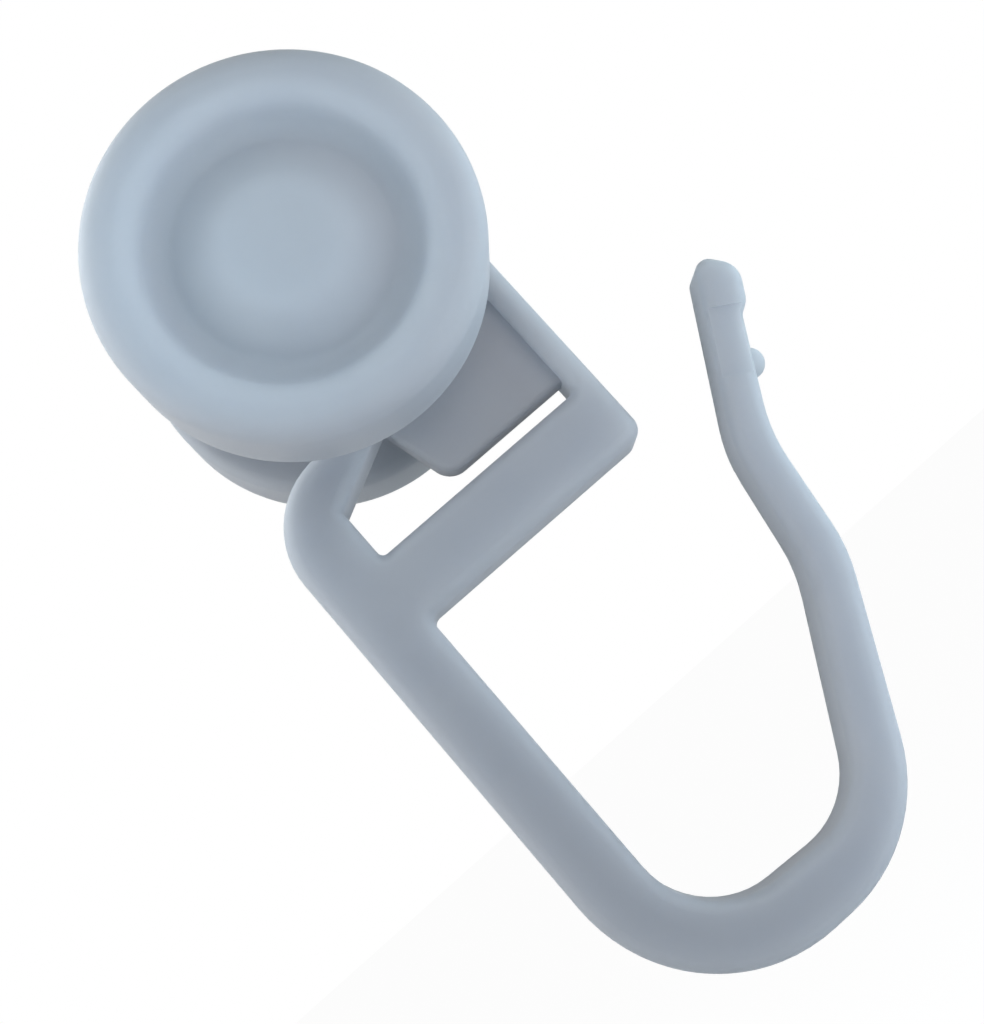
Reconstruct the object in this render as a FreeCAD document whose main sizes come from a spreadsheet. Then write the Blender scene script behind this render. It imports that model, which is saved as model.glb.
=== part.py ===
import FreeCAD, Part
import os

import Sketcher

# Curtain glider: two dished wheels that run on the lips of a curtain rail, one on each side of a
# flat moulded hook. The hook's neck is an open frame with a round lobe and two stub axles on top.
# X runs along the rail towards the hook's mouth, Y along the axle, Z up. The origin is the middle
# of the axle. Lengths are in millimetres, leans in degrees from the upright. A drop is measured
# down from the axle, a rise up from the inside of the hook's toe, a reach across from the axle.

SIZES = (
    ("wheel_radius", 6.0, "tread of each wheel"),
    ("wheel_width", 3.5, "wheel from inner face to rim"),
    ("wheel_gap", 5.0, "between the two inner faces"),
    ("tread_round", 0.7, "outer edge of the tread"),
    ("tread_inner_round", 0.4, "inner edge of the tread"),
    ("rim_width", 1.5, "rim beside the groove"),
    ("rim_round", 0.5, "inner edge of the rim"),
    ("groove_depth", 1.0, "groove below the rim"),
    ("groove_narrowing", 0.55, "lean of the groove's outer wall"),
    ("groove_round", 0.5, "corners of the groove floor"),
    ("boss_foot_radius", 3.35, "boss at the groove floor"),
    ("boss_top_radius", 1.9, "boss at its top edge"),
    ("boss_drop", 0.3, "boss top below the rim"),
    ("boss_round", 0.9, "top edge of the boss"),
    ("axle_radius", 1.45, "stub axle"),
    ("axle_clearance", 0.06, "round the axle and its bead"),
    ("axle_length", 2.1, "stub axle past its collar"),
    ("axle_lead_in", 0.35, "taper at the end of the axle"),
    ("bead_height", 0.12, "snap bead above the axle"),
    ("bead_setback", 1.35, "bead from the collar"),
    ("bead_width", 0.2, "ramp and crown of the bead"),
    ("bead_play", 0.12, "bead behind the wheel's lip"),
    ("end_gap", 0.2, "axle end to the end of the bore"),
    ("running_gap", 0.15, "collar to the wheel's inner face"),
    ("collar_radius", 2.3, "collar between lobe and wheel"),
    ("lobe_radius", 3.1, "lobe that carries the axle"),
    ("lobe_edge", 0.3, "bevel of the lobe"),
    ("bar_depth", 2.5, "hook and frame along the axle"),
    ("edge_round", 0.4, "front and back edges of the bars"),
    ("edge_land", 0.04, "least flat between two such edges"),
    ("spine_reach", 6.06, "outer side of the spine at its shoulder"),
    ("spine_lean", 0.5, "spine away from the hook's mouth, going down"),
    ("spine_width", 2.28, "spine below the frame"),
    ("spine_top_width", 2.34, "spine beside the window"),
    ("shoulder_drop", 4.45, "top of the spine's shoulder"),
    ("shoulder_round", 2.9, "outer bend of the shoulder"),
    ("strap_lean", 63.0, "strap under the lobe"),
    ("strap_below_axle", 3.98, "lower edge of the strap from the axle"),
    ("strap_width", 1.2, "strap across"),
    ("strap_round", 1.4, "bend from shoulder to strap"),
    ("post_reach", 5.08, "outer side of the post"),
    ("post_width", 0.84, "post across"),
    ("post_top_round", 1.0, "bend from strap to post"),
    ("window_top_round", 0.1, "window below the shoulder"),
    ("window_round", 0.22, "other corners of the window"),
    ("crossbar_drop", 8.24, "upper side of the crossbar"),
    ("crossbar_width", 2.42, "crossbar across"),
    ("crossbar_end_round", 0.55, "free corner of the crossbar"),
    ("crossbar_root_round", 0.3, "crossbar to spine, below"),
    ("web_depth", 1.2, "thin web under the strap, along the axle"),
    ("web_slit", 0.58, "web to crossbar"),
    ("web_width", 4.66, "web's foot, from the post to its free side"),
    ("web_lean", 13.0, "web's free side"),
    ("web_foot_round", 0.75, "free corner of the web"),
    ("web_root", 0.3, "web sunk into strap and post"),
    ("web_edge_round", 0.2, "free edges of the web"),
    ("hook_drop", 23.6, "inside of the hook's bottom, at the toe"),
    ("heel_rise", 0.33, "inside of the bottom at the heel"),
    ("seat_width", 2.02, "hook's bottom across, at the toe"),
    ("heel_round", 5.4, "outer bend from spine to bottom"),
    ("heel_inner_round", 2.9, "inner bend from spine to bottom"),
    ("toe_inner_reach", 2.16, "inside corner from bottom to arm"),
    ("toe_outer_reach", 3.08, "outside corner from bottom to arm"),
    ("toe_round", 5.3, "outer bend from bottom to arm"),
    ("toe_inner_round", 2.85, "inner bend from bottom to arm"),
    ("knee_reach", 6.0, "inside of the arm's lower bend"),
    ("knee_rise", 6.6, "lower bend"),
    ("knee_width", 1.43, "arm at the lower bend"),
    ("waist_reach", 6.79, "inside of the arm's upper bend"),
    ("waist_rise", 10.79, "upper bend"),
    ("waist_width", 1.3, "arm at the upper bend"),
    ("bend_lean", 20.0, "arm's mean lean at both bends"),
    ("bend_round", 5.5, "both bends of the arm"),
    ("tip_reach", 10.03, "inside of the arm's tip"),
    ("tip_rise", 16.22, "tip of the arm"),
    ("tip_lean", 31.0, "arm's lean at its tip"),
    ("tip_fall", 0.55, "fall of the tip's end towards the outside"),
    ("swelling_length", 1.75, "swelling at the tip"),
    ("tip_width", 1.42, "arm across its swelling"),
    ("neck_width", 1.2, "arm just below the swelling"),
    ("neck_run", 0.45, "from swelling to neck"),
    ("tip_round", 0.8, "outer corner of the tip"),
    ("swelling_round", 0.5, "lower corner of the swelling"),
    ("tip_inner_round", 0.42, "inner corner of the tip"),
    ("neck_round", 0.4, "hollow of the neck"),
    ("notch_depth", 0.12, "shallow notch across the arm, in front and behind"),
    ("notch_length", 2.3, "that notch, down from just below the swelling"),
    ("nub_radius", 0.52, "stop nub on the arm"),
    ("nub_proud", 0.56, "nub beyond the arm"),
    ("nub_from_tip", 3.6, "nub along the arm"),
)

FULL_TURN = 360.0
SAME_PLACE = 1e-4
SQUARE_ON = 0.999

doc = FreeCAD.newDocument("curtain_glider")
sheet = doc.addObject("Spreadsheet::Sheet", "Sizes")
for row, (alias, value, meaning) in enumerate(SIZES, start=1):
    sheet.set("A%d" % row, alias)
    sheet.set("B%d" % row, str(value))
    sheet.setAlias("B%d" % row, alias)
    sheet.set("C%d" % row, meaning)
doc.recompute()


def in_sizes(text):
    """An expression with each word in braces read from the sheet."""
    return text.replace("{", "Sizes.").replace("}", "")


def new_body(label):
    """A body whose label names its file."""
    body = doc.addObject("PartDesign::Body", label)
    body.Label = label
    return body


def origin_feature(body, role):
    """The body's own origin plane or axis with this role."""
    return next(item for item in body.Origin.OriginFeatures if item.Role == role)


def outline(body, name, role, *loops):
    """A sketch of closed outlines on an origin plane. Each corner is its place across, its place
    up and the name of its rounding, or None where it stays sharp."""
    sketch = body.newObject("Sketcher::SketchObject", name)
    sketch.AttachmentSupport = [(origin_feature(body, role), "")]
    sketch.MapMode = "FlatFace"
    for corners in loops:
        first = sketch.GeometryCount
        count = len(corners)
        for step in range(count):
            start = FreeCAD.Vector(step, step * step, 0)
            end = FreeCAD.Vector(step + 1, (step + 1) ** 2, 0)
            sketch.addGeometry(Part.LineSegment(start, end), False)
        for step in range(count):
            following = first + (step + 1) % count
            sketch.addConstraint(Sketcher.Constraint("Coincident", first + step, 2, following, 1))
        for step, (across, up, rounding) in enumerate(corners):
            for kind, place in (("DistanceX", across), ("DistanceY", up)):
                held = Sketcher.Constraint(kind, -1, 1, first + step, 1, 1.0)
                index = sketch.addConstraint(held)
                sketch.setExpression("Constraints[%d]" % index, in_sizes(place))
    doc.recompute()
    return sketch


def pad_both_ways(body, name, sketch, depth):
    """Material on both sides of the sketch, half the depth each."""
    pad = body.newObject("PartDesign::Pad", name)
    pad.Profile = sketch
    pad.SideType = "Symmetric"
    pad.setExpression("Length", in_sizes(depth))
    doc.recompute()
    return pad


def turn_round_axle(body, name, sketch):
    """The sketch turned once round the axle."""
    turned = body.newObject("PartDesign::Revolution", name)
    turned.Profile = sketch
    turned.ReferenceAxis = (origin_feature(body, "Y_Axis"), [""])
    turned.Angle = FULL_TURN
    doc.recompute()
    return turned


def crossing_edges(feature, sketch, corners):
    """Names of the edges that pass square through the sketch at these corners."""
    placement = sketch.Placement
    normal = placement.Rotation.multVec(FreeCAD.Vector(0, 0, 1))
    names = []
    for corner in corners:
        point = placement.multVec(sketch.Geometry[corner].StartPoint)
        spot = Part.Vertex(point)
        for index, edge in enumerate(feature.Shape.Edges, start=1):
            if edge.distToShape(spot)[0] > SAME_PLACE:
                continue
            along = edge.tangentAt(edge.Curve.parameter(point))
            if abs(along.dot(normal)) > SQUARE_ON:
                names.append("Edge%d" % index)
    return names


def flat_side_edges(feature, half_depth):
    """Names of the edges that lie in the front or the back face."""
    names = []
    for index, edge in enumerate(feature.Shape.Edges, start=1):
        box = edge.BoundBox
        if box.YLength < SAME_PLACE and abs(abs(box.YMin) - half_depth) < SAME_PLACE:
            names.append("Edge%d" % index)
    return names


def rounded(body, name, feature, edges, radius):
    """A fillet on named edges."""
    fillet = body.newObject("PartDesign::Fillet", name)
    fillet.Base = (feature, edges)
    fillet.setExpression("Radius", in_sizes(radius))
    doc.recompute()
    return fillet


def round_corners(body, feature, sketch, corners):
    """Fillets on the edges that stand on the sketch's corners, one fillet for each rounding."""
    for rounding in dict.fromkeys(name for across, up, name in corners if name):
        places = [index for index, corner in enumerate(corners) if corner[2] == rounding]
        edges = crossing_edges(feature, sketch, places)
        name = "%s_%s" % (sketch.Name, rounding)
        feature = rounded(body, name, feature, edges, "{%s}" % rounding)
    return feature


# Heights and places across, worked out from the sizes.
SHOULDER_Z = "(-{shoulder_drop})"
CROSSBAR_TOP_Z = "(-{crossbar_drop})"
CROSSBAR_BOTTOM_Z = "(-{crossbar_drop} - {crossbar_width})"
WEB_FOOT_Z = "(-{crossbar_drop} + {web_slit})"
SEAT_Z = "(-{hook_drop})"
HEEL_Z = "({heel_rise} - {hook_drop})"
SEAT_BOTTOM_Z = "(-{hook_drop} - {seat_width})"
KNEE_Z = "({knee_rise} - {hook_drop})"
WAIST_Z = "({waist_rise} - {hook_drop})"
TIP_Z = "({tip_rise} - {hook_drop})"
WINDOW_LEFT_X = "({spine_top_width} - {spine_reach})"
POST_INNER_X = "({post_reach} - {post_width})"
COLLAR_Y = "({wheel_gap} / 2 - {running_gap})"

# The strap's lower edge is a line under the axle, and its upper edge is one strap width nearer.
STRAP_RISE = "tan(90 deg - {strap_lean} * 1 deg)"
STRAP_UPRIGHT = "sin({strap_lean} * 1 deg)"
STRAP_TOP = "({strap_below_axle} - {strap_width})"
WEB_TOP = "({strap_below_axle} - {web_root})"

# Two edges leave some flat between them on the thinnest bar.
EDGE_ROUND = "min({edge_round}; ({post_width} - {edge_land}) / 2)"


def spine_x(width, z):
    """Place across of a line down the spine, one width in from its outer side."""
    return "%s - {spine_reach} + (%s + {shoulder_drop}) * tan({spine_lean} * 1 deg)" % (width, z)


def strap_z(across, below_axle):
    """Height of a line parallel to the strap, at one place across."""
    return "(%s) * %s - %s / %s" % (across, STRAP_RISE, below_axle, STRAP_UPRIGHT)


def beyond(x, z, width, lean):
    """The point one width across a leaning arm from its inner edge."""
    turn = "(%s * 1 deg)" % lean
    return "%s + %s * cos%s" % (x, width, turn), "%s - %s * sin%s" % (z, width, turn)


def down_arm(run, width):
    """A point of the arm's upper stretch, by its run from the tip and its width across."""
    turn = "({tip_lean} * 1 deg)"
    x = "{tip_reach} - %s * sin%s + %s * cos%s" % (run, turn, width, turn)
    z = "%s - %s * cos%s - %s * sin%s" % (TIP_Z, run, turn, width, turn)
    return x, z


def add_bars(body):
    """Arm, bottom, spine and neck frame: one outline with the frame's window, and soft edges."""
    shoulder_turn_x = "(%s / %s - {shoulder_drop}) / %s" % (STRAP_TOP, STRAP_UPRIGHT, STRAP_RISE)
    knee = beyond("{knee_reach}", KNEE_Z, "{knee_width}", "{bend_lean}")
    waist = beyond("{waist_reach}", WAIST_Z, "{waist_width}", "{bend_lean}")
    neck = down_arm("({swelling_length} + {neck_run})", "{neck_width}")
    swelling = down_arm("{swelling_length}", "{tip_width}")
    tip = down_arm("{tip_fall}", "{tip_width}")
    # From the tip down the inside of the arm, round the neck frame and back up the outside.
    around = (
        ("{tip_reach}", TIP_Z, "tip_inner_round"),
        ("{waist_reach}", WAIST_Z, "bend_round"),
        ("{knee_reach}", KNEE_Z, "bend_round"),
        ("{toe_inner_reach}", SEAT_Z, "toe_inner_round"),
        (spine_x("{spine_width}", HEEL_Z), HEEL_Z, "heel_inner_round"),
        (spine_x("{spine_width}", CROSSBAR_BOTTOM_Z), CROSSBAR_BOTTOM_Z, "crossbar_root_round"),
        ("{post_reach}", CROSSBAR_BOTTOM_Z, "crossbar_end_round"),
        ("{post_reach}", strap_z("{post_reach}", STRAP_TOP), "post_top_round"),
        (shoulder_turn_x, SHOULDER_Z, "strap_round"),
        ("-{spine_reach}", SHOULDER_Z, "shoulder_round"),
        (spine_x("0", SEAT_BOTTOM_Z), SEAT_BOTTOM_Z, "heel_round"),
        ("{toe_outer_reach}", SEAT_BOTTOM_Z, "toe_round"),
        (*knee, "bend_round"),
        (*waist, "bend_round"),
        (*neck, "neck_round"),
        (*swelling, "swelling_round"),
        (*tip, "tip_round"),
    )
    # From the lower left corner, along the crossbar and up the post.
    window = (
        (WINDOW_LEFT_X, CROSSBAR_TOP_Z, "window_round"),
        (POST_INNER_X, CROSSBAR_TOP_Z, "window_round"),
        (POST_INNER_X, strap_z(POST_INNER_X, "{strap_below_axle}"), "window_round"),
        (WINDOW_LEFT_X, strap_z(WINDOW_LEFT_X, "{strap_below_axle}"), "window_top_round"),
    )
    sketch = outline(body, "bars", "XZ_Plane", around, window)
    solid = pad_both_ways(body, "bars_pad", sketch, "{bar_depth}")
    solid = round_corners(body, solid, sketch, around + window)
    sides = flat_side_edges(solid, sheet.get("bar_depth") / 2)
    rounded(body, "bars_edges", solid, sides, EDGE_ROUND)


def add_web(body):
    """Thin web under the strap, free at its left side and its foot."""
    left_x = "(%s - {web_width})" % POST_INNER_X
    right_x = "%s + {web_root}" % POST_INNER_X
    height = "(%s - %s)" % (strap_z(left_x, WEB_TOP), WEB_FOOT_Z)
    top_x = "%s - %s * tan({web_lean} * 1 deg)" % (left_x, height)
    corners = (
        (left_x, WEB_FOOT_Z, "web_foot_round"),
        (right_x, WEB_FOOT_Z, None),
        (right_x, strap_z(right_x, WEB_TOP), None),
        (top_x, strap_z(top_x, WEB_TOP), None),
    )
    sketch = outline(body, "web", "XZ_Plane", corners)
    solid = pad_both_ways(body, "web_pad", sketch, "{web_depth}")
    solid = round_corners(body, solid, sketch, corners)
    sides = flat_side_edges(solid, sheet.get("web_depth") / 2)
    rounding_top_z = sketch.Geometry[0].StartPoint.y + sheet.get("web_foot_round")
    post_x = sheet.get("post_reach") - sheet.get("post_width")
    free = []
    for name in sides:
        box = solid.Shape.getElement(name).BoundBox
        if box.ZMin < rounding_top_z and box.XMin < post_x - SAME_PLACE:
            free.append(name)
    rounded(body, "web_edges", solid, free, "{web_edge_round}")


def add_notches(body):
    """Shallow notches across the arm's front and back, between its swelling and its stop nub."""
    x, z = down_arm("({swelling_length} + {neck_run} / 4 + {notch_length})", "(-{tip_width})")
    floor_y = "({bar_depth} / 2 - {notch_depth})"
    upright_turn = FreeCAD.Rotation(FreeCAD.Vector(0, 1, 0), sheet.get("tip_lean"))
    for name, low_y in (("front_notch", "-%s - {bar_depth}" % floor_y), ("back_notch", floor_y)):
        notch = body.newObject("PartDesign::SubtractiveBox", name)
        notch.Placement = FreeCAD.Placement(FreeCAD.Vector(), upright_turn)
        sizes = {
            "Length": "3 * {tip_width}",
            "Width": "{bar_depth}",
            "Height": "{notch_length}",
            ".Placement.Base.x": x,
            ".Placement.Base.y": low_y,
            ".Placement.Base.z": z,
            ".Placement.Rotation.Angle": "{tip_lean} * 1 deg",
        }
        for what, expression in sizes.items():
            notch.setExpression(what, in_sizes(expression))
        doc.recompute()


def add_nub(body):
    """Stop nub on the outside of the arm, a ball set into it."""
    x, z = down_arm("{nub_from_tip}", "({neck_width} + {nub_proud} - {nub_radius})")
    nub = body.newObject("PartDesign::AdditiveSphere", "nub")
    nub.setExpression("Radius", in_sizes("{nub_radius}"))
    nub.setExpression(".Placement.Base.x", in_sizes(x))
    nub.setExpression(".Placement.Base.z", in_sizes(z))
    doc.recompute()


def add_axles(body):
    """Lobe, collars and stub axles with their snap beads: one half, and the same mirrored."""
    end_y = "%s + {axle_length}" % COLLAR_Y
    bead_y = "%s + {bead_setback}" % COLLAR_Y
    bead_radius = "{axle_radius} + {bead_height}"
    half = (
        ("0", end_y, None),
        ("{axle_radius} - {axle_lead_in}", end_y, None),
        (bead_radius, bead_y + " + 2 * {bead_width}", None),
        (bead_radius, bead_y + " + {bead_width}", None),
        ("{axle_radius}", bead_y, None),
        ("{axle_radius}", COLLAR_Y, None),
        ("{collar_radius}", COLLAR_Y, None),
        ("{collar_radius}", "{bar_depth} / 2", None),
        ("{lobe_radius} - {lobe_edge}", "{bar_depth} / 2", None),
        ("{lobe_radius}", "{bar_depth} / 2 - {lobe_edge}", None),
    )
    mirrored = tuple((across, "-(%s)" % along, None) for across, along, sharp in reversed(half))
    sketch = outline(body, "axles", "XY_Plane", half + mirrored)
    turn_round_axle(body, "axles_turned", sketch)


def make_hook():
    """The hook, its neck frame with web and lobe, and both stub axles, moulded in one."""
    body = new_body("hook")
    add_bars(body)
    add_web(body)
    add_notches(body)
    add_nub(body)
    add_axles(body)
    return body


def make_wheel(label, side):
    """A dished wheel with a blind bore, on the side of the hook that the sign gives."""
    body = new_body(label)
    inner_y = "{wheel_gap} / 2"
    rim_y = "({wheel_gap} / 2 + {wheel_width})"
    groove_y = "%s - {groove_depth}" % rim_y
    boss_y = "%s - {boss_drop}" % rim_y
    lip_y = "%s + {bead_setback} - {bead_play}" % COLLAR_Y
    bore_end_y = "%s + {axle_length} + {end_gap}" % COLLAR_Y
    bore = "{axle_radius} + {axle_clearance}"
    chamber = "{axle_radius} + {bead_height} + {axle_clearance}"
    section = (
        (bore, inner_y, None),
        ("{wheel_radius}", inner_y, "tread_inner_round"),
        ("{wheel_radius}", rim_y, "tread_round"),
        ("{wheel_radius} - {rim_width}", rim_y, "rim_round"),
        ("{wheel_radius} - {rim_width} - {groove_narrowing}", groove_y, "groove_round"),
        ("{boss_foot_radius}", groove_y, "groove_round"),
        ("{boss_top_radius}", boss_y, "boss_round"),
        ("0", boss_y, None),
        ("0", bore_end_y, None),
        (chamber, bore_end_y, None),
        (chamber, lip_y, None),
        (bore, lip_y, None),
    )
    placed = [(across, "%s * (%s)" % (side, along), name) for across, along, name in section]
    sketch = outline(body, label + "_section", "XY_Plane", placed)
    turned = turn_round_axle(body, label + "_turned", sketch)
    round_corners(body, turned, sketch, placed)
    return body


def check(bodies):
    """Stops before anything is written if an object failed or a shape is missing or broken."""
    doc.recompute()
    for item in doc.Objects:
        if "Invalid" in item.State or "Error" in item.State:
            raise RuntimeError("%s failed: %s" % (item.Name, item.State))
    for body in bodies:
        if body.Shape.isNull() or not body.Shape.isValid() or len(body.Shape.Solids) != 1:
            raise RuntimeError("%s has no single valid solid" % body.Label)


BODIES = (make_hook(), make_wheel("front_wheel", "-1"), make_wheel("rear_wheel", "1"))
check(BODIES)
os.makedirs("parts", exist_ok=True)
for part in BODIES:
    part.Shape.exportStep(os.path.join("parts", part.Label + ".step"))
    box = part.Shape.optimalBoundingBox()
    print("%-12s %7.2f mm3  X %6.2f %6.2f  Y %6.2f %6.2f  Z %6.2f %6.2f" % (
        part.Label, part.Shape.Volume, box.XMin, box.XMax, box.YMin, box.YMax, box.ZMin, box.ZMax))
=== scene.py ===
"""Curtain glider: the moulded hook, its two wheels and a plain studio stage.

X runs along the rail towards the hook's mouth, Y along the axle and Z up, with the origin in the
middle of the axle. Lengths are in metres.
"""

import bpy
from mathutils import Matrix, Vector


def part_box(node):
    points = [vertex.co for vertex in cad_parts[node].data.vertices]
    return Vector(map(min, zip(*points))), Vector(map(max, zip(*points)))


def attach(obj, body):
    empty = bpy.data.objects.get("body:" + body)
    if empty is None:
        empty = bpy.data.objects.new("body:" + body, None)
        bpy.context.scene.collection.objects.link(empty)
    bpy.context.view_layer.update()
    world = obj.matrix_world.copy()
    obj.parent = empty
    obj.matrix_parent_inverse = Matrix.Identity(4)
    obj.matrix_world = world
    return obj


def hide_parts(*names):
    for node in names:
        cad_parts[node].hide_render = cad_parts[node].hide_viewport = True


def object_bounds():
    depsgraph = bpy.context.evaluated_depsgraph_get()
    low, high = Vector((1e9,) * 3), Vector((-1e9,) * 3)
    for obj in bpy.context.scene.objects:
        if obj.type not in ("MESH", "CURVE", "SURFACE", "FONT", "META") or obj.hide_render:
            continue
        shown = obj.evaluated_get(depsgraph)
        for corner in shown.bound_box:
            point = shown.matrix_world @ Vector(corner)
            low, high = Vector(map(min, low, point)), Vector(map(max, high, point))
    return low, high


bl_info = {
    "name": "Curtain Glider",
    "version": (1, 0, 0),
    "blender": (4, 5, 0),
    "location": "View3D > Sidebar > Glider",
    "description": "Wheels, milky plastic and studio stage of a curtain glider",
    "category": "Object",
}

from math import pi, radians
from typing import NamedTuple

import bpy
import numpy as np
from bpy.props import FloatProperty, FloatVectorProperty, IntProperty, PointerProperty
from mathutils import Quaternion, Vector

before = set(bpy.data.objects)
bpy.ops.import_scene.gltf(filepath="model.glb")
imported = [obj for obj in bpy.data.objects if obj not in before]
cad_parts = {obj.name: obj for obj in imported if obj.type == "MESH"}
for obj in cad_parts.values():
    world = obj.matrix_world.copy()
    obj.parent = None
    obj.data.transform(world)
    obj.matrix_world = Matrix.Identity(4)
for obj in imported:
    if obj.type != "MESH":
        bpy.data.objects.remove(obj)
CAD_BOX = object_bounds()

FRONT_LOW, FRONT_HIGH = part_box("front_wheel")
WHEELS = {"front_wheel": "front_roller", "rear_wheel": "rear_roller"}
PLASTIC_NAME = "milky_plastic_finish"

# The camera's own axes: across the picture, and out of the picture towards the eye.
ACROSS = Vector((1.0, 0.0, 0.0))
TO_EYE = Vector((0.0, 0.0, 1.0))


class Lamp(NamedTuple):
    """A soft square lamp near the piece that it shines at.

    The clock angle turns from the picture's top and the lean from the line of sight, in degrees.
    """

    name: str
    node: str
    clock: float
    lean: float
    distance: float
    size: float
    level: float
    colour: tuple


LAMPS = (
    Lamp("front_lamp", "front_wheel", clock=45.0, lean=45.0,
         distance=0.030, size=0.021, level=0.25, colour=(1.0, 0.96, 0.97)),
    Lamp("boss_lamp", "front_wheel", clock=-60.0, lean=12.0,
         distance=0.011, size=0.008, level=0.50, colour=(0.66, 0.86, 1.0)),
    Lamp("left_lamp", "hook", clock=-120.0, lean=70.0,
         distance=0.050, size=0.035, level=0.38, colour=(0.91, 0.95, 1.0)),
    Lamp("strap_lamp", "hook", clock=-70.0, lean=95.0,
         distance=0.050, size=0.035, level=0.48, colour=(0.86, 0.95, 1.0)),
    Lamp("corner_lamp", "hook", clock=45.0, lean=92.0,
         distance=0.050, size=0.035, level=0.52, colour=(0.66, 0.88, 1.0)),
    Lamp("arm_lamp", "hook", clock=95.0, lean=48.0,
         distance=0.030, size=0.021, level=0.32, colour=(0.82, 0.89, 1.0)),
)


class GliderWheel(bpy.types.PropertyGroup):
    """Section of one wheel. The tread and both faces come from the front wheel in model.glb."""

    tread_round: FloatProperty(
        name="Tread Round", description="Outer edge of the tread",
        default=0.0007, min=0.00001, unit="LENGTH")
    tread_inner_round: FloatProperty(
        name="Inner Tread Round", description="Inner edge of the tread",
        default=0.0004, min=0.00001, unit="LENGTH")
    rim_width: FloatProperty(
        name="Rim Width", description="Rim beside the groove",
        default=0.0015, min=0.0001, unit="LENGTH")
    rim_round: FloatProperty(
        name="Rim Round", description="Inner edge of the rim",
        default=0.0009, min=0.00001, unit="LENGTH")
    groove_depth: FloatProperty(
        name="Groove Depth", description="Groove below the rim",
        default=0.001, min=0.0001, unit="LENGTH")
    groove_narrowing: FloatProperty(
        name="Groove Narrowing", description="Lean of the groove's outer wall",
        default=0.00055, min=0.0, unit="LENGTH")
    groove_round: FloatProperty(
        name="Groove Round", description="Outer corner of the groove floor",
        default=0.0008, min=0.00001, unit="LENGTH")
    foot_round: FloatProperty(
        name="Foot Round", description="Corner of the groove floor at the boss",
        default=0.0005, min=0.00001, unit="LENGTH")
    boss_foot_radius: FloatProperty(
        name="Boss Foot", description="Radius of the boss at the groove floor",
        default=0.00335, min=0.0005, unit="LENGTH")
    boss_top_radius: FloatProperty(
        name="Boss Top", description="Radius of the boss at its top edge",
        default=0.0019, min=0.0005, unit="LENGTH")
    boss_drop: FloatProperty(
        name="Boss Drop", description="Boss top below the rim",
        default=0.0003, min=0.0, unit="LENGTH")
    boss_round: FloatProperty(
        name="Boss Round", description="Top edge of the boss",
        default=0.0016, min=0.00001, unit="LENGTH")
    bore_radius: FloatProperty(
        name="Bore Radius", description="Bore round the stub axle",
        default=0.00151, min=0.0005, unit="LENGTH")
    bore_depth: FloatProperty(
        name="Bore Depth", description="Blind bore from the inner face",
        default=0.00215, min=0.0005, unit="LENGTH")
    lip_depth: FloatProperty(
        name="Lip Depth", description="Snap lip from the inner face",
        default=0.00108, min=0.0001, unit="LENGTH")
    chamber_radius: FloatProperty(
        name="Chamber Radius", description="Bore behind the snap lip",
        default=0.00163, min=0.0005, unit="LENGTH")
    edge_round: FloatProperty(
        name="Edge Round", description="Edges of the bore",
        default=0.00005, min=0.000005, unit="LENGTH")
    steps_round: IntProperty(
        name="Steps Round", description="Faces round the wheel", default=192, min=24)
    steps_per_arc: IntProperty(
        name="Steps per Arc", description="Points on each rounded corner of the section",
        default=10, min=3)
    steps_per_run: IntProperty(
        name="Steps per Run", description="Steps along each straight run of the section",
        default=5, min=2)


class GliderPlastic(bpy.types.PropertyGroup):
    """Milky, slightly translucent plastic with a satin skin."""

    clear_tint: FloatVectorProperty(
        name="Clear Tint", description="Cooler tint of the plastic", subtype="COLOR",
        size=4, default=(0.52, 0.545, 0.59, 1.0), min=0.0, max=1.0)
    cloudy_tint: FloatVectorProperty(
        name="Cloudy Tint", description="Milkier tint of the plastic", subtype="COLOR",
        size=4, default=(0.57, 0.585, 0.615, 1.0), min=0.0, max=1.0)
    cloud_size: FloatProperty(
        name="Cloud Size", description="Size of the milky clouds", default=0.0025, unit="LENGTH")
    cloud_detail: FloatProperty(
        name="Cloud Detail", description="Finer layers in the clouds", default=3.0, min=0.0)
    skin_size: FloatProperty(
        name="Skin Size", description="Grain of the satin skin", default=0.00012, unit="LENGTH")
    skin_detail: FloatProperty(
        name="Skin Detail", description="Finer layers in the grain", default=2.0, min=0.0)
    roughness_low: FloatProperty(
        name="Least Roughness", description="Roughness of the smoothest skin",
        default=0.48, min=0.0, max=1.0, subtype="FACTOR")
    roughness_high: FloatProperty(
        name="Most Roughness", description="Roughness of the dullest skin",
        default=0.62, min=0.0, max=1.0, subtype="FACTOR")
    gloss: FloatProperty(
        name="Gloss", description="Strength of the skin's reflections",
        default=0.3, min=0.0, max=1.0, subtype="FACTOR")
    refraction: FloatProperty(
        name="Refraction", description="Index of refraction of the plastic", default=1.5, min=1.0)
    scatter_depth: FloatProperty(
        name="Scatter Depth", description="How far light spreads inside",
        default=0.0026, unit="LENGTH")
    scatter_shares: FloatVectorProperty(
        name="Scatter Shares", description="Share of that depth for red, green and blue light",
        default=(1.0, 1.0, 1.0), min=0.0)
    wave_height: FloatProperty(
        name="Wave Height", description="Height of the mould's faint waves",
        default=0.00002, unit="LENGTH")
    wave_strength: FloatProperty(
        name="Wave Strength", description="How much of the waves shows",
        default=0.5, min=0.0, max=1.0, subtype="FACTOR")


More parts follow.
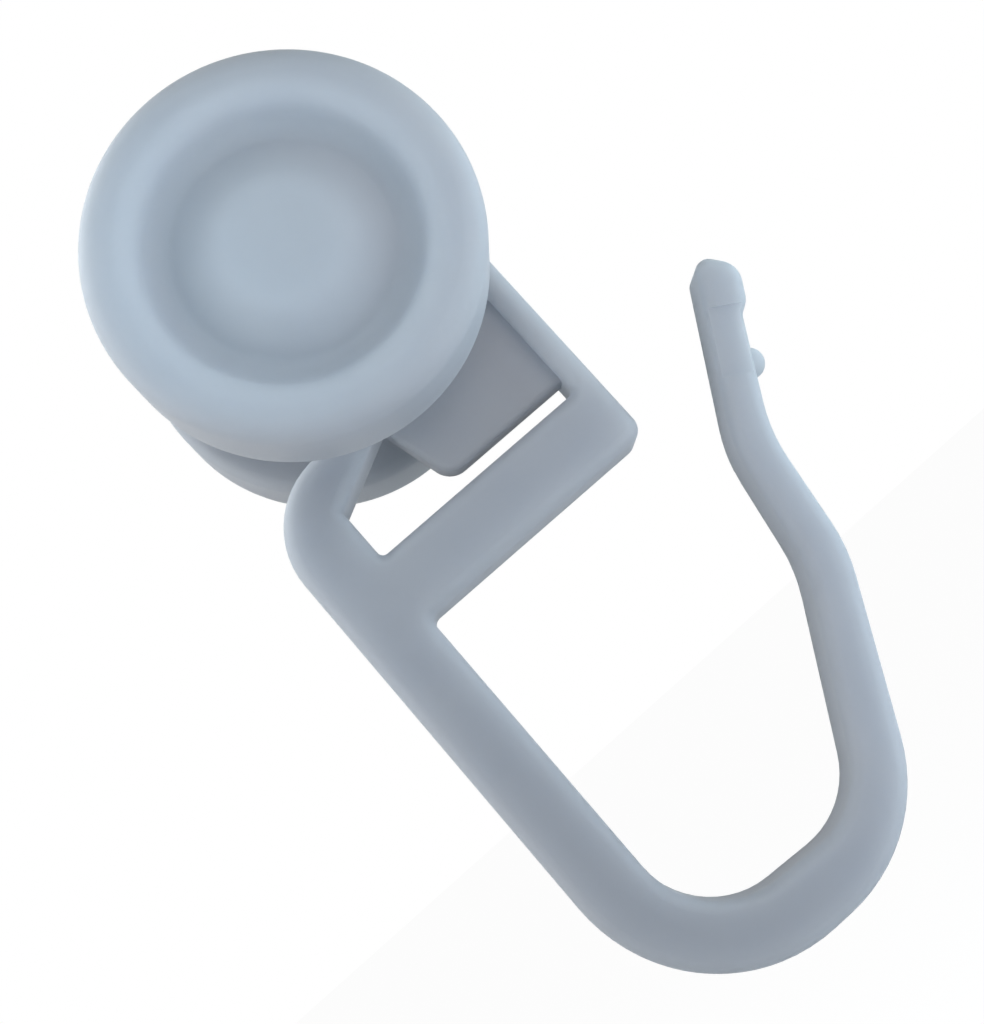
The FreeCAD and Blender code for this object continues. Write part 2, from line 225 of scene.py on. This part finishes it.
class GliderStage(bpy.types.PropertyGroup):
    """Camera, floor and surroundings."""

    eye: FloatVectorProperty(
        name="Eye", description="Place of the camera", subtype="TRANSLATION", unit="LENGTH",
        default=(-0.005244, -0.051552, -0.016072))
    aim: FloatVectorProperty(
        name="Aim", description="Point in the middle of the picture", subtype="TRANSLATION",
        unit="LENGTH", default=(-0.00012, 0.0, -0.009284))
    roll: FloatProperty(
        name="Roll", description="Clockwise lean of the camera", subtype="ANGLE",
        default=radians(41.67))
    lens: FloatProperty(
        name="Lens", description="Focal length", default=58.01, min=1.0, unit="CAMERA")
    near_sight: FloatProperty(
        name="Near Sight", description="Nearest that the camera sees", default=0.001, unit="LENGTH")
    far_sight: FloatProperty(
        name="Far Sight", description="Farthest that the camera sees", default=10.0, unit="LENGTH")
    floor_drop: FloatProperty(
        name="Floor Drop", description="Floor below the hook", default=0.012, unit="LENGTH")
    floor_size: FloatProperty(
        name="Floor Size", description="Side of the floor", default=2.0, unit="LENGTH")
    floor_colour: FloatVectorProperty(
        name="Floor Colour", description="Colour of the pale floor", subtype="COLOR",
        size=4, default=(0.9, 0.9, 0.9, 1.0), min=0.0, max=1.0)
    floor_roughness: FloatProperty(
        name="Floor Roughness", description="Roughness of the floor",
        default=0.9, min=0.0, max=1.0, subtype="FACTOR")
    floor_white: FloatProperty(
        name="Floor White", description="Share of plain white that the eye sees on the floor",
        default=0.92, min=0.0, max=1.0, subtype="FACTOR")
    floor_glow: FloatProperty(
        name="Floor Glow", description="Strength of that white", default=1.06, min=0.0)
    backdrop: FloatVectorProperty(
        name="Backdrop", description="Colour that the eye sees behind the glider", subtype="COLOR",
        size=4, default=(1.0, 1.0, 1.0, 1.0), min=0.0, max=1.0)
    surround: FloatVectorProperty(
        name="Surround", description="Colour of the light from all round", subtype="COLOR",
        size=4, default=(1.0, 0.93, 0.88, 1.0), min=0.0, max=1.0)
    surround_strength: FloatProperty(
        name="Surround Strength", description="Level of the light from all round",
        default=0.01, min=0.0)


def put_mesh(scene, name, points, faces, material):
    """A smooth mesh object at the origin, from an array of points and a list of faces."""
    mesh = bpy.data.meshes.new(name)
    mesh.from_pydata(points.tolist(), [], faces)
    mesh.shade_smooth()
    mesh.materials.append(material)
    piece = bpy.data.objects.new(name, mesh)
    scene.collection.objects.link(piece)
    return piece


def rounded_section(corners, steps_per_arc, steps_per_run):
    """Points along a section with rounded corners.

    Each corner is (across, along, radius). It is cut back on both sides by the radius times the
    tangent of half its turn, an arc of that radius bridges the cut, and the runs between the arcs
    are straight. The first and the last corner are kept as they are.
    """
    place = corners[:, :2]
    ways = np.diff(place, axis=0)
    ways /= np.linalg.norm(ways, axis=1, keepdims=True)
    before, after = ways[:-1], ways[1:]
    crossed = before[:, 0] * after[:, 1] - before[:, 1] * after[:, 0]
    turn = np.arctan2(crossed, (before * after).sum(axis=1))
    radius = corners[1:-1, 2]
    cut = (radius * np.tan(np.abs(turn) / 2))[:, None]
    start = place[1:-1] - cut * before
    side = np.sign(turn)[:, None] * np.stack((-before[:, 1], before[:, 0]), axis=1)
    centre = start + radius[:, None] * side
    angle = turn[:, None] * np.linspace(0, 1, steps_per_arc)
    spoke = (start - centre)[:, None, :]
    crossways = np.stack((-spoke[..., 1], spoke[..., 0]), axis=2)
    arcs = centre[:, None, :] + spoke * np.cos(angle)[..., None] + crossways * np.sin(angle)[..., None]
    leave = np.concatenate((place[:1], arcs[:, -1]))
    reach = np.concatenate((arcs[:, 0], place[-1:]))
    share = np.linspace(0, 1, steps_per_run + 1)[1:-1, None]
    runs = leave[:, None, :] + (reach - leave)[:, None, :] * share
    inner = np.concatenate((arcs, runs[1:]), axis=1).reshape(-1, 2)
    return np.concatenate((place[:1], runs[0], inner, place[-1:]))


def turned_surface(section, steps_round, side):
    """Points and faces of a section turned round the Y axis.

    A point at turn angle a is (r cos a, side times y, r sin a). The section starts and ends on the
    axis, so each end is one pole point with a fan of triangles, and the last column joins the first.
    On the side of positive Y the faces are listed backwards, so that they point outwards there too.
    """
    angle = np.linspace(0, 2 * pi, steps_round, endpoint=False)
    radius, along = section[1:-1].T
    ring = np.stack((
        np.outer(radius, np.cos(angle)),
        np.outer(along * side, np.ones(steps_round)),
        np.outer(radius, np.sin(angle)),
    ), axis=2).reshape(-1, 3)
    poles = np.array([[0.0, side * section[0, 1], 0.0], [0.0, side * section[-1, 1], 0.0]])
    points = np.concatenate((ring, poles))
    index = np.arange(len(ring)).reshape(len(radius), steps_round)
    beside = np.roll(index, -1, axis=1)
    quads = np.stack((index[:-1], beside[:-1], beside[1:], index[1:]), axis=2).reshape(-1, 4)
    first_pole = np.full(steps_round, len(ring))
    first_fan = np.stack((first_pole, beside[0], index[0]), axis=1)
    last_fan = np.stack((first_pole + 1, index[-1], beside[-1]), axis=1)
    order = -1 if side > 0 else 1
    faces = []
    for group in (quads, first_fan, last_fan):
        faces += group[:, ::order].tolist()
    return points, faces


def wheel_section(sizes):
    """Half section of a wheel as (radius, distance from the middle plane).

    It runs from the middle of the outer face over boss, groove, rim and tread to the inner face, and
    through the snap lip and the chamber to the end of the blind bore.
    """
    tread = FRONT_HIGH.z
    inner = -FRONT_HIGH.y
    rim = -FRONT_LOW.y
    wall = tread - sizes.rim_width
    boss = rim - sizes.boss_drop
    groove = rim - sizes.groove_depth
    lip_end = inner + sizes.lip_depth
    bore_end = inner + sizes.bore_depth
    corners = np.array((
        (0.0, boss, 0.0),
        (sizes.boss_top_radius, boss, sizes.boss_round),
        (sizes.boss_foot_radius, groove, sizes.foot_round),
        (wall - sizes.groove_narrowing, groove, sizes.groove_round),
        (wall, rim, sizes.rim_round),
        (tread, rim, sizes.tread_round),
        (tread, inner, sizes.tread_inner_round),
        (sizes.bore_radius, inner, sizes.edge_round),
        (sizes.bore_radius, lip_end, sizes.edge_round),
        (sizes.chamber_radius, lip_end, sizes.edge_round),
        (sizes.chamber_radius, bore_end, sizes.edge_round),
        (0.0, bore_end, 0.0),
    ))
    return rounded_section(corners, sizes.steps_per_arc, sizes.steps_per_run)


def milky_plastic(finish):
    """Milky plastic: two close tints in soft clouds, light that spreads inside, and a satin skin
    whose roughness changes from place to place, with faint waves from the mould."""
    material = bpy.data.materials.new(PLASTIC_NAME)
    material.use_nodes = True
    tree = material.node_tree
    shader = tree.nodes["Principled BSDF"]
    shader.inputs["Subsurface Weight"].default_value = 1.0
    shader.inputs["Subsurface Radius"].default_value = finish.scatter_shares
    shader.inputs["Subsurface Scale"].default_value = finish.scatter_depth
    shader.inputs["IOR"].default_value = finish.refraction
    shader.inputs["Specular IOR Level"].default_value = finish.gloss
    place = tree.nodes.new("ShaderNodeTexCoord")

    def noise(size, detail):
        """Soft noise of one size on the piece's own coordinates."""
        node = tree.nodes.new("ShaderNodeTexNoise")
        node.inputs["Scale"].default_value = 1.0 / size
        node.inputs["Detail"].default_value = detail
        tree.links.new(place.outputs["Object"], node.inputs["Vector"])
        return node.outputs["Fac"]

    clouds = noise(finish.cloud_size, finish.cloud_detail)
    tint = tree.nodes.new("ShaderNodeMix")
    tint.data_type = "RGBA"
    tint.inputs["A"].default_value = finish.clear_tint
    tint.inputs["B"].default_value = finish.cloudy_tint
    tree.links.new(clouds, tint.inputs["Factor"])
    tree.links.new(tint.outputs["Result"], shader.inputs["Base Color"])

    skin = noise(finish.skin_size, finish.skin_detail)
    dull = tree.nodes.new("ShaderNodeMapRange")
    dull.inputs["To Min"].default_value = finish.roughness_low
    dull.inputs["To Max"].default_value = finish.roughness_high
    tree.links.new(skin, dull.inputs["Value"])
    tree.links.new(dull.outputs["Result"], shader.inputs["Roughness"])

    waves = tree.nodes.new("ShaderNodeBump")
    waves.inputs["Strength"].default_value = finish.wave_strength
    waves.inputs["Distance"].default_value = finish.wave_height
    tree.links.new(clouds, waves.inputs["Height"])
    tree.links.new(waves.outputs["Normal"], shader.inputs["Normal"])
    return material


def plastic_of(scene):
    """The one plastic that all pieces share, made at its first use."""
    return bpy.data.materials.get(PLASTIC_NAME) or milky_plastic(scene.glider_plastic)


def set_camera(scene, stage):
    """A camera that looks from the eye to the aim, rolled about its line of sight."""
    data = bpy.data.cameras.new("camera")
    data.lens = stage.lens
    data.clip_start = stage.near_sight
    data.clip_end = stage.far_sight
    camera = bpy.data.objects.new("camera", data)
    scene.collection.objects.link(camera)
    eye = Vector(stage.eye)
    level = (Vector(stage.aim) - eye).to_track_quat("-Z", "Y")
    camera.location = eye
    camera.rotation_mode = "QUATERNION"
    camera.rotation_quaternion = level @ Quaternion(TO_EYE, -stage.roll)
    scene.camera = camera
    return camera


def set_lamps(scene, camera):
    """Soft square lamps round the picture. At level 1 a lamp lights a face square to it so that a
    colour shows as written: its power is the level times pi squared times the distance squared."""
    for lamp in LAMPS:
        aside = Quaternion(TO_EYE, -radians(lamp.clock)) @ Quaternion(ACROSS, -radians(lamp.lean))
        way = camera.rotation_quaternion @ (aside @ TO_EYE)
        data = bpy.data.lights.new(lamp.name, "AREA")
        data.size = lamp.size
        data.energy = lamp.level * pi ** 2 * lamp.distance ** 2
        data.color = lamp.colour
        light = bpy.data.objects.new(lamp.name, data)
        scene.collection.objects.link(light)
        light.location = sum(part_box(lamp.node), Vector()) / 2 + way * lamp.distance
        light.rotation_mode = "QUATERNION"
        light.rotation_quaternion = way.to_track_quat("Z", "Y")
        light.visible_camera = False


def seen_directly(tree):
    """One where the camera, a gloss or a clear piece looks, and nought for other light."""
    rays = tree.nodes.new("ShaderNodeLightPath")
    looks = rays.outputs["Is Camera Ray"]
    for kind in ("Is Glossy Ray", "Is Transmission Ray"):
        either = tree.nodes.new("ShaderNodeMath")
        either.operation = "MAXIMUM"
        tree.links.new(looks, either.inputs[0])
        tree.links.new(rays.outputs[kind], either.inputs[1])
        looks = either.outputs["Value"]
    return looks


def mix_surface(tree, share, lit, seen, output):
    """Leads a mix of two shaders to the output. The share is that of the second one."""
    mix = tree.nodes.new("ShaderNodeMixShader")
    tree.links.new(share, mix.inputs["Fac"])
    tree.links.new(lit, mix.inputs[1])
    tree.links.new(seen, mix.inputs[2])
    tree.links.new(mix.outputs["Shader"], tree.nodes[output].inputs["Surface"])


def pale_floor(stage):
    """Matt pale floor. To the eye it is mostly its own white, and the rest keeps the shadow."""
    material = bpy.data.materials.new("pale_floor")
    material.use_nodes = True
    tree = material.node_tree
    lit = tree.nodes["Principled BSDF"]
    lit.inputs["Base Color"].default_value = stage.floor_colour
    lit.inputs["Roughness"].default_value = stage.floor_roughness
    lit.inputs["Specular IOR Level"].default_value = 0.0
    white = tree.nodes.new("ShaderNodeEmission")
    white.inputs["Strength"].default_value = stage.floor_glow
    share = tree.nodes.new("ShaderNodeMath")
    share.operation = "MULTIPLY"
    share.inputs[1].default_value = stage.floor_white
    tree.links.new(seen_directly(tree), share.inputs[0])
    mix_surface(tree, share.outputs["Value"], lit.outputs["BSDF"], white.outputs["Emission"],
                "Material Output")
    return material


def set_floor(scene, stage):
    """A level square floor below the hook, with its middle under the axle."""
    half = stage.floor_size / 2
    height = CAD_BOX[0].z - stage.floor_drop
    corners = np.array(((-half, -half), (half, -half), (half, half), (-half, half)))
    points = np.column_stack((corners, np.full(len(corners), height)))
    floor = put_mesh(scene, "floor", points, [range(len(points))], pale_floor(stage))


def set_surroundings(scene, stage):
    """Even light from all round, and plain white where the camera looks past the glider."""
    world = bpy.data.worlds.new("surroundings")
    scene.world = world
    world.use_nodes = True
    tree = world.node_tree
    lit = tree.nodes["Background"]
    lit.inputs["Color"].default_value = stage.surround
    lit.inputs["Strength"].default_value = stage.surround_strength
    seen = tree.nodes.new("ShaderNodeBackground")
    seen.inputs["Color"].default_value = stage.backdrop
    mix_surface(tree, seen_directly(tree), lit.outputs["Background"], seen.outputs["Background"],
                "World Output")


class GLIDER_OT_finish_hook(bpy.types.Operator):
    """Gives the moulded hook its milky plastic"""

    bl_idname = "glider.finish_hook"
    bl_label = "Finish Hook"

    def execute(self, context):
        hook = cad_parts["hook"]
        hook.material_slots[0].material = plastic_of(context.scene)
        return {"FINISHED"}


class GLIDER_OT_turn_wheels(bpy.types.Operator):
    """Turns both wheels from one section, one on each side of the hook"""

    bl_idname = "glider.turn_wheels"
    bl_label = "Turn Wheels"

    def execute(self, context):
        scene = context.scene
        sizes = scene.glider_wheel
        section = wheel_section(sizes)
        for node, body in WHEELS.items():
            low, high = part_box(node)
            side = 1.0 if low.y + high.y > 0 else -1.0
            points, faces = turned_surface(section, sizes.steps_round, side)
            wheel = put_mesh(scene, "turned_" + node, points, faces, plastic_of(scene))
            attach(wheel, body)
            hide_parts(node)
        return {"FINISHED"}


class GLIDER_OT_set_stage(bpy.types.Operator):
    """Sets the camera, the soft lamps, the pale floor and the white surroundings"""

    bl_idname = "glider.set_stage"
    bl_label = "Set Stage"

    def execute(self, context):
        scene = context.scene
        stage = scene.glider_stage
        camera = set_camera(scene, stage)
        set_lamps(scene, camera)
        set_floor(scene, stage)
        set_surroundings(scene, stage)
        scene.view_settings.view_transform = "Standard"
        return {"FINISHED"}


GROUPS = {"glider_wheel": GliderWheel, "glider_plastic": GliderPlastic, "glider_stage": GliderStage}
OPERATORS = (GLIDER_OT_finish_hook, GLIDER_OT_turn_wheels, GLIDER_OT_set_stage)


class GLIDER_PT_panel(bpy.types.Panel):
    """Lists the glider's steps and sizes"""

    bl_idname = "GLIDER_PT_panel"
    bl_label = "Curtain Glider"
    bl_space_type = "VIEW_3D"
    bl_region_type = "UI"
    bl_category = "Glider"

    def draw(self, context):
        for operator in OPERATORS:
            self.layout.operator(operator.bl_idname)
        for name, group in GROUPS.items():
            box = self.layout.box()
            for size in group.__annotations__:
                box.prop(getattr(context.scene, name), size)


def register():
    for name, group in GROUPS.items():
        bpy.utils.register_class(group)
        setattr(bpy.types.Scene, name, PointerProperty(type=group))
    for operator in OPERATORS:
        bpy.utils.register_class(operator)
    bpy.utils.register_class(GLIDER_PT_panel)


def unregister():
    bpy.utils.unregister_class(GLIDER_PT_panel)
    for operator in reversed(OPERATORS):
        bpy.utils.unregister_class(operator)
    for name, group in reversed(GROUPS.items()):
        delattr(bpy.types.Scene, name)
        bpy.utils.unregister_class(group)


def main():
    register()
    bpy.ops.glider.finish_hook()
    bpy.ops.glider.turn_wheels()
    bpy.ops.glider.set_stage()


if __name__ == "__main__":
    main()
